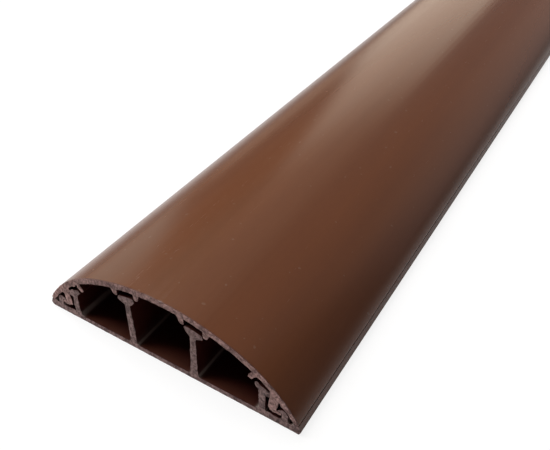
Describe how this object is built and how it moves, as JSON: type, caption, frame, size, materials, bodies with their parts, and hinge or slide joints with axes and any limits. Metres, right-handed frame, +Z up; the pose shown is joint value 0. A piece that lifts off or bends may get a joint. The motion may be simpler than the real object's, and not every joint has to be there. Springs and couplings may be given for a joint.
{
  "type": "snap-together floor cable trunking",
  "caption": "Half-round floor trunking: a flat base divided into open cable channels, under a domed cover that snaps over its hooked edges.",
  "frame": {"origin": "middle of the flat underside, half way along the length", "axes": "+Z up from the floor, +Y along the length, +X across the width"},
  "size_m": [0.07, 0.5, 0.0198],
  "materials": {
    "base_pvc": "satin brown rigid PVC, paler and matt where it is sawn",
    "cover_pvc": "satin brown rigid PVC with fine lengthwise extrusion lines, paler and matt where it is sawn"
  },
  "bodies": {
    "base": {"base_channel": "base_pvc"},
    "cover": {"snap_cover": "cover_pvc"}
  },
  "joints": [
    {"name": "cover_slide", "type": "slide", "parent": "base", "child": "cover", "axis": [0, 1, 0], "range_m": [0, 0.5]}
  ]
}
